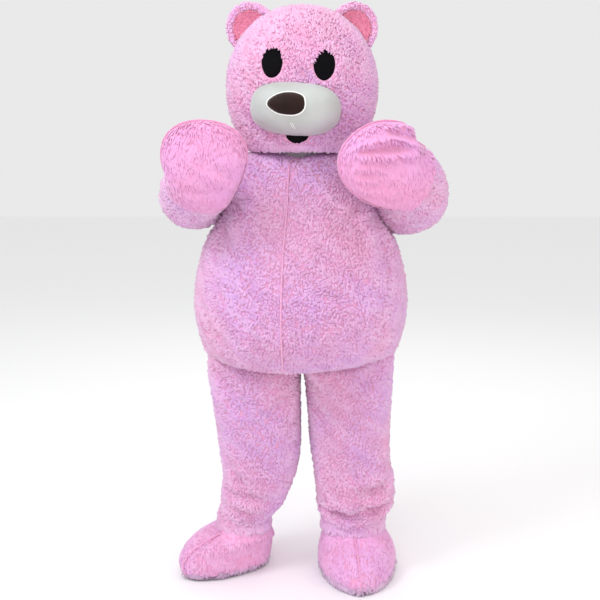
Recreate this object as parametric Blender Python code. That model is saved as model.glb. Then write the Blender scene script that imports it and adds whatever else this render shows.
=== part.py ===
# Bear mascot costume, hollow, in the pose of its wearer: a foam head under plush,
# a wide plush suit with set-in sleeves and legs, round mitts and shoe covers.
# Metres, +Z up, +X at the wearer's left and -Y at the front. Tables give heights
# above the floor. The world origin is at shoulder height on the centre line.

import math
from collections import namedtuple

import bmesh
import bpy
from mathutils import Matrix, Vector

SHOULDER_HEIGHT = 1.36
SEAM_GAP = 0.0003
CUT_GAP = SEAM_GAP * 1.2
MERGE = 1e-6
PLUSH = 0.008
FOAM_SHELL = 0.015
GAUZE = 0.0015
COLUMNS = 24
ARM_COLUMNS = 20

# Half sizes of the neck band, of the two leg tops together and of the ankles
BAND_WIDTH, BAND_FRONT, BAND_BACK = 0.1215, 0.112, 0.105
BAND_BOTTOM, BAND_TOP, BAND_WALL = 1.318, 1.400, 0.003
HIP_WIDTH, HIP_FRONT, HIP_BACK, HIP_SQUARENESS = 0.2965, 0.132, 0.132, 2.3

Section = namedtuple("Section", "height x y half_width front back")
TorsoRow = namedtuple("TorsoRow", "height half_width front back droop")
Fold = namedtuple("Fold", "height angle depth reach spread")
FootRow = namedtuple("FootRow", "height toe heel half_width squareness shift")
MittRow = namedtuple("MittRow", "along half_width half_depth shift")
SleeveRow = namedtuple("SleeveRow", "along across deep")
Arm = namedtuple("Arm", "root elbow wrist tip elbow_bend wrist_bend")

# The rim under the belly, then up to the neckline. The droop lowers the front of a
# row by its full value and the back by half of it.
TORSO = [
    TorsoRow(0.7450, HIP_WIDTH + SEAM_GAP, HIP_FRONT + SEAM_GAP, HIP_BACK + SEAM_GAP, 0.032),
    TorsoRow(0.7485, 0.3055, 0.172, 0.152, 0.047),
    TorsoRow(0.7540, 0.3075, 0.215, 0.172, 0.037),
    TorsoRow(0.7680, 0.3110, 0.255, 0.192, 0.016),
    TorsoRow(0.7920, 0.3170, 0.280, 0.206, 0.004),
    TorsoRow(0.8300, 0.3270, 0.296, 0.214, 0.0),
    TorsoRow(0.8750, 0.3330, 0.302, 0.217, 0.0),
    TorsoRow(0.9250, 0.3330, 0.300, 0.214, 0.0),
    TorsoRow(0.9800, 0.3250, 0.290, 0.206, 0.0),
    TorsoRow(1.0350, 0.3130, 0.274, 0.197, 0.0),
    TorsoRow(1.0850, 0.2970, 0.255, 0.188, 0.0),
    TorsoRow(1.1350, 0.2700, 0.234, 0.179, 0.0),
    TorsoRow(1.1850, 0.2440, 0.213, 0.170, 0.0),
    TorsoRow(1.2350, 0.2260, 0.194, 0.161, 0.0),
    TorsoRow(1.2850, 0.2160, 0.173, 0.150, 0.0),
    TorsoRow(1.3230, 0.2060, 0.156, 0.140, 0.002),
    TorsoRow(1.3490, 0.1800, 0.138, 0.127, 0.008),
    TorsoRow(1.3600, BAND_WIDTH + SEAM_GAP, BAND_FRONT + SEAM_GAP, BAND_BACK + SEAM_GAP, 0.016),
]
TORSO_SQUARENESS = 2.2
TORSO_CENTRE, FOLDS_BOTTOM, FOLDS_TOP = 0.875, 0.80, 1.30
# Above the folds the neckline dips only at the very front
BACK_DROOP, NECKLINE_POWER = 0.5, 12
# The body is turned a little towards the wearer's right, with its front seam
SEAM_TURN = math.radians(-8.5)
TORSO_FOLDS = [
    Fold(0.990, 268, -0.006, 0.050, 9),
    Fold(0.900, 236, -0.005, 0.030, 14),
    Fold(0.860, 305, -0.005, 0.028, 16),
    Fold(1.060, 232, -0.005, 0.030, 12),
    Fold(1.080, 300, -0.004, 0.035, 12),
    Fold(0.940, 95, -0.006, 0.060, 10),
    Fold(1.050, 62, -0.005, 0.030, 14),
    Fold(0.860, 120, -0.005, 0.030, 16),
]

LEG_RIGHT = [
    Section(0.218, -0.1660, 0.000, 0.094, 0.096, 0.100),
    Section(0.246, -0.1550, -0.002, 0.102, 0.104, 0.106),
    Section(0.290, -0.1400, -0.004, 0.108, 0.110, 0.110),
    Section(0.345, -0.1310, -0.004, 0.120, 0.118, 0.116),
    Section(0.415, -0.1325, -0.004, 0.130, 0.125, 0.122),
    Section(0.490, -0.1350, -0.003, 0.135, 0.130, 0.126),
    Section(0.575, -0.1425, -0.002, 0.140, 0.134, 0.129),
    Section(0.650, -0.1490, 0.000, 0.145, 0.134, 0.131),
]
LEG_LEFT = [
    Section(0.222, 0.1755, 0.000, 0.119, 0.112, 0.112),
    Section(0.250, 0.1765, -0.003, 0.123, 0.118, 0.116),
    Section(0.300, 0.1730, -0.004, 0.126, 0.120, 0.118),
    Section(0.355, 0.1660, -0.004, 0.124, 0.119, 0.117),
    Section(0.425, 0.1570, -0.004, 0.126, 0.123, 0.120),
    Section(0.500, 0.1550, -0.003, 0.130, 0.128, 0.125),
    Section(0.580, 0.1545, -0.002, 0.134, 0.132, 0.129),
    Section(0.650, 0.1540, 0.000, 0.138, 0.134, 0.131),
]
LEG_SQUARENESS = 2.15
LEG_RIGHT_FOLDS = [
    Fold(0.262, 285, -0.012, 0.016, 42),
    Fold(0.222, 265, 0.008, 0.016, 55),
    Fold(0.300, 225, 0.006, 0.022, 30),
    Fold(0.250, 80, -0.010, 0.016, 45),
    Fold(0.430, 100, -0.008, 0.030, 30),
    Fold(0.600, 300, -0.006, 0.030, 22),
]
LEG_LEFT_FOLDS = [
    Fold(0.225, 275, -0.012, 0.014, 55),
    Fold(0.290, 320, 0.008, 0.022, 34),
    Fold(0.330, 250, -0.006, 0.020, 30),
    Fold(0.262, 95, -0.010, 0.018, 48),
    Fold(0.430, 80, -0.008, 0.030, 30),
    Fold(0.600, 240, -0.006, 0.030, 22),
]
LEG_TOP, LEG_TOP_STRAIGHT = 0.757, 0.698
HEM_BOTTOM, HEM_STRAIGHT = 0.158, 0.190

SOLE_THICKNESS = 0.012
SoleRow = namedtuple("SoleRow", "height inset")
SOLE = [SoleRow(0.0, 0.010), SoleRow(0.003, 0.003), SoleRow(SOLE_THICKNESS, 0.001)]
FOOT_BOTTOM = SOLE_THICKNESS + SEAM_GAP
FOOT = [
    FootRow(FOOT_BOTTOM, 0.218, 0.098, 0.124, 1.85, 0.014),
    FootRow(0.036, 0.229, 0.106, 0.132, 1.85, 0.014),
    FootRow(0.066, 0.219, 0.108, 0.130, 1.87, 0.013),
    FootRow(0.097, 0.187, 0.105, 0.121, 1.9, 0.010),
    FootRow(0.124, 0.142, 0.101, 0.109, 1.95, 0.005),
]
ANKLE_BOTTOM, ANKLE_TOP = 0.146, 0.186
Leg = namedtuple("Leg", "side sections folds hem_x ankle toe_turn foot")
Foot = namedtuple("Foot", "aside back width puff")
# The wearer's right foot stands turned out, a little back from its ankle, and its
# cover is narrower at the floor and fuller above it.
LEGS = {
    "right": Leg(
        -1, LEG_RIGHT, LEG_RIGHT_FOLDS, -0.1860, 0.080, -45, Foot(-0.016, 0.042, 0.92, 0.24)
    ),
    "left": Leg(1, LEG_LEFT, LEG_LEFT_FOLDS, 0.1710, 0.097, 0, Foot(0, 0, 1, 0)),
}
FOOT_SLIDE_HEIGHT = 0.06

HEAD_X, HEAD_Y, HEAD_DEPTH_RATIO = 0.003, -0.02, 0.965
HeadRow = namedtuple("HeadRow", "height radius")
HEAD = [
    HeadRow(1.3660, 0.154),
    HeadRow(1.3770, 0.175),
    HeadRow(1.4080, 0.192),
    HeadRow(1.4500, 0.210),
    HeadRow(1.5000, 0.2245),
    HeadRow(1.5550, 0.2280),
    HeadRow(1.6100, 0.2225),
    HeadRow(1.6600, 0.205),
    HeadRow(1.7050, 0.177),
    HeadRow(1.7420, 0.141),
    HeadRow(1.7700, 0.097),
    HeadRow(1.7850, 0.052),
]
HEAD_TOP, HEAD_HOLE, HEAD_SQUARENESS = 1.790, 1.3740, 2.05

FACE_X, FACE_ROLL = -0.015, math.radians(3)
EYE_HALF_WIDTH, EYE_HALF_HEIGHT, EYE_SPACING, EYE_HEIGHT = 0.032, 0.046, 0.150, 1.613
GAUZE_INSET, EYE_POINTS, MOUTH_POINTS = 0.005, 16, 12
MOUTH_X, MOUTH_HEIGHT, MOUTH_HALF_WIDTH, MOUTH_HALF_HEIGHT = -0.011, 1.404, 0.042, 0.017
# The mouth's half width at its middle and what its top adds, as shares
MOUTH_MIDDLE, MOUTH_TOP = 0.78, 0.28
FACE_CUT_FRONT, FACE_CUT_BACK = -0.30, -0.10
MUZZLE_CENTRE = Vector((-0.016, -0.205, 1.487))
MUZZLE_HALF, MUZZLE_SQUARENESS = Vector((0.131, 0.110, 0.076)), 2.6
NOSE_CENTRE = Vector((-0.037, -0.290, 1.497))
NOSE_HALF, NOSE_SQUARENESS = Vector((0.058, 0.040, 0.035)), 2.4
DOME_ROWS = 10

EarRow = namedtuple("EarRow", "reach depth")
EAR_HALF_WIDTH, EAR_HALF_HEIGHT = 0.078, 0.085
EAR_CENTRE = Vector((0.150, -0.012, 1.722))
EAR_LEAN, EAR_TURN = math.radians(34), math.radians(14)
# From the middle of the back over the rim to the middle of the cup
EAR = [
    EarRow(0.40, 0.021),
    EarRow(0.74, 0.016),
    EarRow(0.94, 0.006),
    EarRow(1.00, -0.008),
    EarRow(0.95, -0.021),
    EarRow(0.82, -0.024),
    EarRow(0.70, -0.017),
    EarRow(0.36, -0.006),
]
EAR_BACK_POLE, EAR_CUP_POLE = 0.023, -0.003
EAR_LINING, EAR_LINING_INSET = 0.003, 0.02

# Along each arm: shares of the way from the shoulder to the cuff for the sleeve,
# metres from the cuff's edge for the mitts. Across is level at the elbow.
SLEEVE = [
    SleeveRow(0.00, 0.070, 0.070),
    SleeveRow(0.16, 0.080, 0.080),
    SleeveRow(0.30, 0.089, 0.091),
    SleeveRow(0.41, 0.093, 0.099),
    SleeveRow(0.50, 0.095, 0.102),
    SleeveRow(0.59, 0.094, 0.101),
    SleeveRow(0.68, 0.092, 0.098),
    SleeveRow(0.80, 0.094, 0.092),
    SleeveRow(0.91, 0.091, 0.078),
]
CUFF_WIDTH, CUFF_DEPTH, CUFF_SQUARENESS = 0.100, 0.074, 2.2
CUFF_OVERLAP = 0.034
ELBOW_STEPS, WRIST_STEPS = 10, 8
# The sleeve's rings that pass through the body's wall
ARMHOLE_RINGS = 7
MITTS = {
    "right": [
        MittRow(0.070, 0.110, 0.074, 0.000),
        MittRow(0.105, 0.120, 0.072, -0.002),
        MittRow(0.142, 0.123, 0.065, -0.003),
        MittRow(0.176, 0.114, 0.055, -0.003),
        MittRow(0.203, 0.092, 0.043, -0.003),
        MittRow(0.220, 0.063, 0.029, -0.002),
        MittRow(0.2285, 0.032, 0.015, -0.001),
    ],
    "left": [
        MittRow(0.048, 0.119, 0.077, -0.016),
        MittRow(0.080, 0.126, 0.075, -0.022),
        MittRow(0.118, 0.121, 0.069, -0.022),
        MittRow(0.155, 0.113, 0.062, -0.023),
        MittRow(0.192, 0.095, 0.053, -0.021),
        MittRow(0.222, 0.069, 0.040, -0.018),
        MittRow(0.240, 0.044, 0.026, -0.016),
        MittRow(0.2485, 0.022, 0.013, -0.015),
    ],
}
MITT_LENGTHS = {"right": 0.230, "left": 0.251}
MITT_FOLDS = {
    "right": [Fold(0.090, 60, -0.007, 0.020, 26), Fold(0.150, 120, -0.006, 0.020, 24)],
    "left": [Fold(0.110, 75, -0.010, 0.018, 34), Fold(0.170, 55, -0.008, 0.016, 26)],
}
ARMS = {
    "right": Arm(
        Vector((-0.110, 0.002, 1.262)),
        Vector((-0.371, 0.012, 1.212)),
        Vector((-0.272, -0.310, 1.277)),
        Vector((-0.264, -0.345, 1.457)),
        0.106,
        0.078,
    ),
    "left": Arm(
        Vector((0.110, 0.002, 1.262)),
        Vector((0.354, 0.012, 1.172)),
        Vector((0.330, -0.232, 1.290)),
        Vector((0.098, -0.345, 1.345)),
        0.106,
        0.085,
    ),
}

LAVENDER_PINK = (0.80, 0.42, 0.64)
HEAD_PINK = (0.82, 0.40, 0.60)
MITT_PINK = (0.80, 0.46, 0.72)
INNER_PINK = (0.82, 0.30, 0.38)
SATIN_WHITE = (0.72, 0.75, 0.68)
NOSE_BROWN = (0.05, 0.02, 0.015)
GAUZE_BLACK = (0.006, 0.006, 0.007)
BAND_GREY = (0.62, 0.62, 0.62)
SOLE_LILAC = (0.46, 0.38, 0.48)


# Shaders and objects

def cloth(name, colour, roughness):
    material = bpy.data.materials.new(name)
    material.use_nodes = True
    shader = material.node_tree.nodes["Principled BSDF"]
    shader.inputs["Base Color"].default_value = (*colour, 1.0)
    shader.inputs["Roughness"].default_value = roughness
    shader.inputs["Metallic"].default_value = 0.0
    return material


def add_object(name, bm, place, colour, roughness, parent):
    # The mesh comes in costume coordinates and is kept about its own place.
    bm.transform(place.inverted())
    mesh = bpy.data.meshes.new(name)
    bm.to_mesh(mesh)
    bm.free()
    mesh.shade_smooth()
    mesh.set_sharp_from_angle(angle=math.radians(50))
    mesh.materials.append(cloth(name + "_cloth", colour, roughness))
    part = bpy.data.objects.new(name, mesh)
    part.parent = parent
    part.location = place.to_translation()
    part.rotation_euler = place.to_euler()
    bpy.context.scene.collection.objects.link(part)
    return part


def make_cutter(name, bm, parent):
    mesh = bpy.data.meshes.new(name)
    bm.to_mesh(mesh)
    bm.free()
    cutter = bpy.data.objects.new(name, mesh)
    cutter.parent = parent
    cutter.hide_render = True
    cutter.display_type = "WIRE"
    bpy.context.scene.collection.objects.link(cutter)
    return cutter


def cut(part, cutter):
    modifier = part.modifiers.new("cut_" + cutter.name, "BOOLEAN")
    modifier.operation = "DIFFERENCE"
    modifier.solver = "EXACT"
    modifier.object = cutter


# Rings, walls and panels

def superellipse(angle, half_width, front, back, squareness):
    cosine, sine = math.cos(angle), math.sin(angle)
    power = 2.0 / squareness
    depth = front if sine < 0 else back
    across = half_width * math.copysign(abs(cosine) ** power, cosine)
    through = depth * math.copysign(abs(sine) ** power, sine)
    return Vector((across, through, 0.0))


def column_angle(column, columns):
    return 2 * math.pi * column / columns


def fold_offset(folds, height, angle):
    total = 0.0
    for fold in folds:
        turn = math.degrees(angle) - fold.angle
        turn = (turn + 180) % 360 - 180
        rise = (height - fold.height) / fold.reach
        total += fold.depth * math.exp(-rise * rise - (turn / fold.spread) ** 2)
    return total


def section_ring(centre, half_width, front, back, squareness, folds=(), columns=COLUMNS, turn=0.0):
    # The turn moves the columns at the front round the section, and none at the sides.
    points = []
    for column in range(columns):
        angle = column_angle(column, columns)
        angle += turn * max(-math.sin(angle), 0.0)
        offset = superellipse(angle, half_width, front, back, squareness)
        crease = fold_offset(folds, centre.z, angle)
        points.append(centre + offset + offset.normalized() * crease)
    return points


def raised(points, height):
    return [point + Vector((0, 0, height)) for point in points]


def wall_normals(rings):
    # Rings run anticlockwise and rise, so around x along points out.
    normals = []
    for row, ring in enumerate(rings):
        below, above = rings[max(row - 1, 0)], rings[min(row + 1, len(rings) - 1)]
        count = len(ring)
        line = []
        for column in range(count):
            around = ring[(column + 1) % count] - ring[column - 1]
            along = above[column] - below[column]
            line.append(around.cross(along).normalized())
        normals.append(line)
    if (rings[-1][0] - rings[-1][1]).length < MERGE:
        tip = sum(normals[-2], Vector()).normalized()
        normals[-1] = [tip] * len(rings[-1])
    return normals


def inner_rings(rings, thickness, fixed=None):
    inner = [
        [point - normal * thickness for point, normal in zip(ring, line)]
        for ring, line in zip(rings, wall_normals(rings))
    ]
    for row, ring in (fixed or {}).items():
        inner[row] = ring
    return inner


def panel_rows(rings, first, last):
    # The columns from first to last, drawn in by half a gap at both seams.
    count = len(rings[0])
    rows = []
    for ring in rings:
        row = [ring[column % count].copy() for column in range(first, last + 1)]
        if (row[0] - row[1]).length > MERGE:
            row[0] += (row[1] - row[0]).normalized() * SEAM_GAP / 2
            row[-1] += (row[-2] - row[-1]).normalized() * SEAM_GAP / 2
        else:
            middle = sum(rows[-1], Vector()) / len(rows[-1])
            towards = (middle - row[0]) - (rows[-1][0] + rows[-1][-1]) / 2 + row[0]
            row = [point + towards.normalized() * SEAM_GAP / 2 for point in row]
        rows.append(row)
    return rows


def panel_mesh(outer, inner, first, last):
    return grid_mesh(panel_rows(outer, first, last), panel_rows(inner, first, last), False)


def add_quad(bm, first, second, third, fourth):
    # Two triangles, cut the same way everywhere, so that nested walls match.
    bm.faces.new((first, second, third))
    bm.faces.new((first, third, fourth))


def grid_mesh(outer, inner, around):
    bm = bmesh.new()
    outer_verts = [[bm.verts.new(point) for point in row] for row in outer]
    inner_verts = [[bm.verts.new(point) for point in row] for row in inner]
    rows, columns = len(outer), len(outer[0])
    last = columns if around else columns - 1
    for column in range(last):
        side = (column + 1) % columns
        for row in range(rows - 1):
            for grid in (outer_verts, inner_verts):
                lower, upper = grid[row], grid[row + 1]
                add_quad(bm, lower[column], lower[side], upper[side], upper[column])
        for row in (0, rows - 1):
            edge, back = outer_verts[row], inner_verts[row]
            add_quad(bm, edge[column], edge[side], back[side], back[column])
    if not around:
        for row in range(rows - 1):
            for column in (0, columns - 1):
                edge, edge_above = outer_verts[row][column], outer_verts[row + 1][column]
                back, back_above = inner_verts[row][column], inner_verts[row + 1][column]
                add_quad(bm, edge, edge_above, back_above, back)
    bmesh.ops.remove_doubles(bm, verts=bm.verts, dist=MERGE)
    loose = [edge for edge in bm.edges if not edge.link_faces]
    bmesh.ops.delete(bm, geom=loose, context="EDGES")
    bmesh.ops.recalc_face_normals(bm, faces=bm.faces)
    return bm


def capped_mesh(rings):
    # A closed body through the rings, with its two ends filled.
    bm = bmesh.new()
    verts = [[bm.verts.new(point) for point in ring] for ring in rings]
    for lower, upper in zip(verts, verts[1:]):
        for column in range(len(lower)):
            side = (column + 1) % len(lower)
            add_quad(bm, lower[column], lower[side], upper[side], upper[column])
    bm.faces.new(verts[0])
    bm.faces.new(verts[-1])
    bmesh.ops.remove_doubles(bm, verts=bm.verts, dist=MERGE)
    bmesh.ops.recalc_face_normals(bm, faces=bm.faces)
    return bm


# Suit body

def torso_rings():
    rings = []
    for row in TORSO:
        folds = TORSO_FOLDS if FOLDS_BOTTOM < row.height < FOLDS_TOP else ()
        edge = row in (TORSO[0], TORSO[-1])
        squareness = TORSO_SQUARENESS
        if row is TORSO[0]:
            squareness = HIP_SQUARENESS
        if row is TORSO[-1]:
            squareness = 2.0
        centre = Vector((0, 0, row.height))
        turn = 0.0 if edge else SEAM_TURN
        sizes = (row.half_width, row.front, row.back)
        ring = section_ring(centre, *sizes, squareness, folds, COLUMNS, turn)
        for column, point in enumerate(ring):
            forward = -math.sin(column_angle(column, COLUMNS))
            share = forward ** 2 * (1.0 if forward > 0 else BACK_DROOP)
            if row.height > FOLDS_TOP:
                share = max(forward, 0.0) ** NECKLINE_POWER
            point.z -= row.droop * share
        rings.append(ring)
    return rings


def torso_walls():
    outer = torso_rings()
    last = len(outer) - 1
    fixed = {0: raised(outer[0], PLUSH), last: raised(outer[last], -PLUSH)}
    return outer, inner_rings(outer, PLUSH, fixed)


def build_torso(parent, armhole_cutters):
    outer, inner = torso_walls()
    quarter = COLUMNS // 4
    panels = {
        "torso_back_left": (0, "left"),
        "torso_back_right": (quarter, "right"),
        "torso_front_right": (2 * quarter, "right"),
        "torso_front_left": (3 * quarter, "left"),
    }
    place = Matrix.Translation((0, 0, TORSO_CENTRE))
    for name, (first, side) in panels.items():
        bm = panel_mesh(outer, inner, first, first + quarter)
        part = add_object(name, bm, place, LAVENDER_PINK, 0.9, parent)
        cut(part, armhole_cutters[side])
    return make_cutter("torso_hollow", capped_mesh(inner), parent)


def build_neck_band(parent):
    outer, inner = [], []
    for height in (BAND_BOTTOM, (BAND_BOTTOM + BAND_TOP) / 2, BAND_TOP):
        centre = Vector((0, 0, height))
        outer.append(section_ring(centre, BAND_WIDTH, BAND_FRONT, BAND_BACK, 2.0))
        sizes = [size - BAND_WALL for size in (BAND_WIDTH, BAND_FRONT, BAND_BACK)]
        inner.append(section_ring(centre, *sizes, 2.0))
    place = Matrix.Translation((0, 0, BAND_BOTTOM))
    add_object("neck_band", grid_mesh(outer, inner, True), place, BAND_GREY, 0.8, parent)


# Legs and shoe covers

def leg_top_ring(side, height):
    # Half of the hip oval, closed by a flat inner side on the centre line.
    oval = section_ring(Vector((0, 0, height)), HIP_WIDTH, HIP_FRONT, HIP_BACK, HIP_SQUARENESS)
    quarter = COLUMNS // 4
    centre_gap = side * SEAM_GAP / 2
    ring = []
    for column in range(COLUMNS):
        point = oval[column].copy()
        if side < 0:
            steps = (column - 3 * quarter) % COLUMNS
        else:
            steps = (3 * quarter - column) % COLUMNS
        if steps <= 2 * quarter:
            share = steps / (2 * quarter)
            point.y = -HIP_FRONT + share * (HIP_FRONT + HIP_BACK)
            point.x = centre_gap
        ring.append(point)
    return ring


def hem_ring(leg, height, extra):
    radius = leg.ankle + extra
    centre = Vector((leg.hem_x, 0, height))
    return section_ring(centre, radius, radius, radius, 2.0)


def leg_rings(leg):
    inside = SEAM_GAP / math.cos(math.pi / COLUMNS)
    rings = [hem_ring(leg, height, inside + PLUSH) for height in (HEM_BOTTOM, HEM_STRAIGHT)]
    for row in leg.sections:
        centre = Vector((row.x, row.y, row.height))
        sizes = (row.half_width, row.front, row.back)
        rings.append(section_ring(centre, *sizes, LEG_SQUARENESS, leg.folds))
    rings += [leg_top_ring(leg.side, height) for height in (LEG_TOP_STRAIGHT, LEG_TOP)]
    fixed = {
        0: hem_ring(leg, HEM_BOTTOM, inside),
        1: hem_ring(leg, HEM_STRAIGHT, inside),
    }
    return rings, inner_rings(rings, PLUSH, fixed)


def build_legs(parent):
    half = COLUMNS // 2
    for name, leg in LEGS.items():
        outer, inner = leg_rings(leg)
        place = Matrix.Translation((leg.hem_x, 0, HEM_BOTTOM))
        for part, first in (("back", 0), ("front", half)):
            bm = panel_mesh(outer, inner, first, first + half)
            add_object(f"leg_{name}_{part}", bm, place, LAVENDER_PINK, 0.9, parent)


def foot_place(leg):
    turn = Matrix.Rotation(math.radians(leg.toe_turn), 4, "Z")
    return Matrix.Translation((leg.hem_x, 0, 0)) @ turn


def foot_ring(leg, row, height, inset=0.0):
    # Slid fully at the floor and not at all at the ankle.
    share = min((ANKLE_BOTTOM - row.height) / FOOT_SLIDE_HEIGHT, 1.0)
    slide = Vector((leg.foot.aside, leg.foot.back, 0)) * share
    slide.rotate(Matrix.Rotation(math.radians(-leg.toe_turn), 3, "Z"))
    centre = Vector((leg.side * row.shift, 0, height)) + slide
    full = 1 + leg.foot.puff * (row.height - FOOT_BOTTOM) / ANKLE_BOTTOM
    half_width = row.half_width * leg.foot.width * full - inset
    return section_ring(centre, half_width, row.toe * full - inset, row.heel - inset, row.squareness)


def build_feet(parent):
    half = COLUMNS // 2
    toe_column = 3 * COLUMNS // 4
    for name, leg in LEGS.items():
        outer = [foot_ring(leg, row, row.height) for row in FOOT]
        for height in (ANKLE_BOTTOM, ANKLE_TOP):
            centre = Vector((0, 0, height))
            outer.append(section_ring(centre, leg.ankle, leg.ankle, leg.ankle, 2.0))
        inner = inner_rings(outer, PLUSH)
        inner[0] = [Vector((point.x, point.y, FOOT_BOTTOM)) for point in inner[0]]
        inner[-1] = [Vector((point.x, point.y, ANKLE_TOP)) for point in inner[-1]]
        place = foot_place(leg)
        for facing, first in ((1, toe_column), (-1, toe_column - half)):
            bm = panel_mesh(outer, inner, first, first + half)
            bm.transform(place)
            label = "outer" if facing == leg.side else "inner"
            add_object(f"foot_{name}_{label}", bm, place, MITT_PINK, 0.8, parent)
        build_sole(name, leg, parent)


def build_sole(name, leg, parent):
    place = foot_place(leg)
    bm = capped_mesh([foot_ring(leg, FOOT[0], row.height, row.inset) for row in SOLE])
    bm.transform(place)
    add_object(f"sole_{name}", bm, place, SOLE_LILAC, 0.85, parent)


# Sleeves and mitts

def rounded_corner(before, corner, after, radius, steps):
    entering = (corner - before).normalized()
    leaving = (after - corner).normalized()
    turn = entering.angle(leaving)
    start = corner - entering * radius * math.tan(turn / 2)
    axis = entering.cross(leaving).normalized()
    centre = start + axis.cross(entering) * radius
    spins = [Matrix.Rotation(turn * step / steps, 3, axis) for step in range(steps + 1)]
    return [centre + spin @ (start - centre) for spin in spins]


def arm_path(arm):
    path = [arm.root]
    path += rounded_corner(arm.root, arm.elbow, arm.wrist, arm.elbow_bend, ELBOW_STEPS)
    path += rounded_corner(arm.elbow, arm.wrist, arm.tip, arm.wrist_bend, WRIST_STEPS)
    path.append(arm.tip)
    return path


def arm_frames(path):
    # Local X across the hand, Y out of the palm and Z towards the tip, carried from
    # the tip back to the shoulder without twisting.
    heading = (path[-1] - path[-2]).normalized()
    palm = Vector((0, -1, 0))
    palm = (palm - heading * palm.dot(heading)).normalized()
    rotation = Matrix((palm.cross(heading), palm, heading)).transposed()
    frames = []
    for index in range(len(path) - 1, -1, -1):
        before, after = path[max(index - 1, 0)], path[min(index + 1, len(path) - 1)]
        direction = (after - before).normalized()
        rotation = heading.rotation_difference(direction).to_matrix() @ rotation
        heading = direction
        frames.insert(0, (path[index], rotation.to_quaternion()))
    return frames


def frame_at(frames, distance):
    # The frame at a distance along the path, in metres from the shoulder.
    for (low, low_turn), (high, high_turn) in zip(frames, frames[1:]):
        length = (high - low).length
        if distance <= length or high is frames[-1][0]:
            break
        distance -= length
    share = min(distance / length, 1.0)
    turn = low_turn.slerp(high_turn, share)
    return Matrix.Translation(low.lerp(high, share)) @ turn.to_matrix().to_4x4()


def arm_ring(frame, across, deep, squareness=2.0, shift=0.0, folds=(), along=0.0):
    points = section_ring(
        Vector((0, 0, along)), across, deep, deep, squareness, folds, ARM_COLUMNS
    )
    return [frame @ (point + Vector((shift, 0, -along))) for point in points]


def arm_length(frames):
    return sum((high[0] - low[0]).length for low, high in zip(frames, frames[1:]))


def cuff_rings(name, frames, inset):
    # The two rings where the sleeve's end lies inside the mitt's cuff.
    edge = arm_length(frames) - MITT_LENGTHS[name]
    sizes = (CUFF_WIDTH - inset, CUFF_DEPTH - inset)
    places = (edge, edge + CUFF_OVERLAP)
    return [arm_ring(frame_at(frames, place), *sizes, CUFF_SQUARENESS) for place in places]


def sleeve_rings(name, extra=0.0):
    frames = arm_frames(arm_path(ARMS[name]))
    reach = arm_length(frames) - MITT_LENGTHS[name]
    rings = []
    for row in SLEEVE:
        frame = frame_at(frames, row.along * reach)
        rings.append(arm_ring(frame, row.across + extra, row.deep + extra))
    return rings + cuff_rings(name, frames, PLUSH + SEAM_GAP)


def armhole_cutter(name, parent):
    rings = sleeve_rings(name, CUT_GAP)
    return make_cutter(f"armhole_{name}", capped_mesh(rings[:ARMHOLE_RINGS]), parent)


def build_sleeves(parent, torso_hollow):
    half = ARM_COLUMNS // 2
    for name, arm in ARMS.items():
        outer = sleeve_rings(name)
        inner = inner_rings(outer, PLUSH)
        place = Matrix.Translation(arm.root)
        for part, first in (("under", 0), ("top", half)):
            bm = panel_mesh(outer, inner, first, first + half)
            sleeve = add_object(f"sleeve_{name}_{part}", bm, place, LAVENDER_PINK, 0.9, parent)
            cut(sleeve, torso_hollow)


def mitt_rings(name):
    frames = arm_frames(arm_path(ARMS[name]))
    edge = arm_length(frames) - MITT_LENGTHS[name]
    rings = cuff_rings(name, frames, 0.0)
    for row in MITTS[name]:
        frame = frame_at(frames, edge + row.along)
        sizes = (row.half_width, row.half_depth, CUFF_SQUARENESS, row.shift)
        rings.append(arm_ring(frame, *sizes, MITT_FOLDS[name], row.along))
    tip = frame_at(frames, edge + MITT_LENGTHS[name]) @ Vector((row.shift, 0, 0))
    rings.append([tip] * ARM_COLUMNS)
    return rings, cuff_rings(name, frames, PLUSH)


def build_mitts(parent):
    half = ARM_COLUMNS // 2
    for name, arm in ARMS.items():
        outer, cuff_inside = mitt_rings(name)
        inner = inner_rings(outer, PLUSH, dict(enumerate(cuff_inside)))
        frames = arm_frames(arm_path(arm))
        place = frame_at(frames, arm_length(frames))
        for part, first in (("palm", 0), ("back", half)):
            bm = panel_mesh(outer, inner, first, first + half)
            add_object(f"mitt_{name}_{part}", bm, place, MITT_PINK, 0.8, parent)


# Head

def head_rings(extra=0.0):
    hole = [size + SEAM_GAP for size in (BAND_WIDTH, BAND_FRONT, BAND_BACK)]
    rings = [section_ring(Vector((0, 0, HEAD_HOLE)), *hole, 2.0)]
    for row in HEAD:
        centre = Vector((HEAD_X, HEAD_Y, row.height))
        depth = (row.radius + extra) * HEAD_DEPTH_RATIO
        rings.append(section_ring(centre, row.radius + extra, depth, depth, HEAD_SQUARENESS))
    rings.append([Vector((HEAD_X, HEAD_Y, HEAD_TOP + extra))] * COLUMNS)
    return rings


def face_point(across, height):
    # A place on the face, rolled a little about the middle of the muzzle.
    cosine, sine = math.cos(FACE_ROLL), math.sin(FACE_ROLL)
    up = height - MUZZLE_CENTRE.z
    x = FACE_X + across * cosine + up * sine
    return x, MUZZLE_CENTRE.z + up * cosine - across * sine


def head_radius(height):
    for low, high in zip(HEAD, HEAD[1:]):
        if height <= high.height:
            mix = (height - low.height) / (high.height - low.height)
            return low.radius + mix * (high.radius - low.radius)
    return HEAD[-1].radius


def face_depth(x, height):
    radius = head_radius(height)
    share = min(abs(x - HEAD_X) / radius, 1.0)
    return HEAD_Y - radius * HEAD_DEPTH_RATIO * math.sqrt(1 - share * share)


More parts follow.
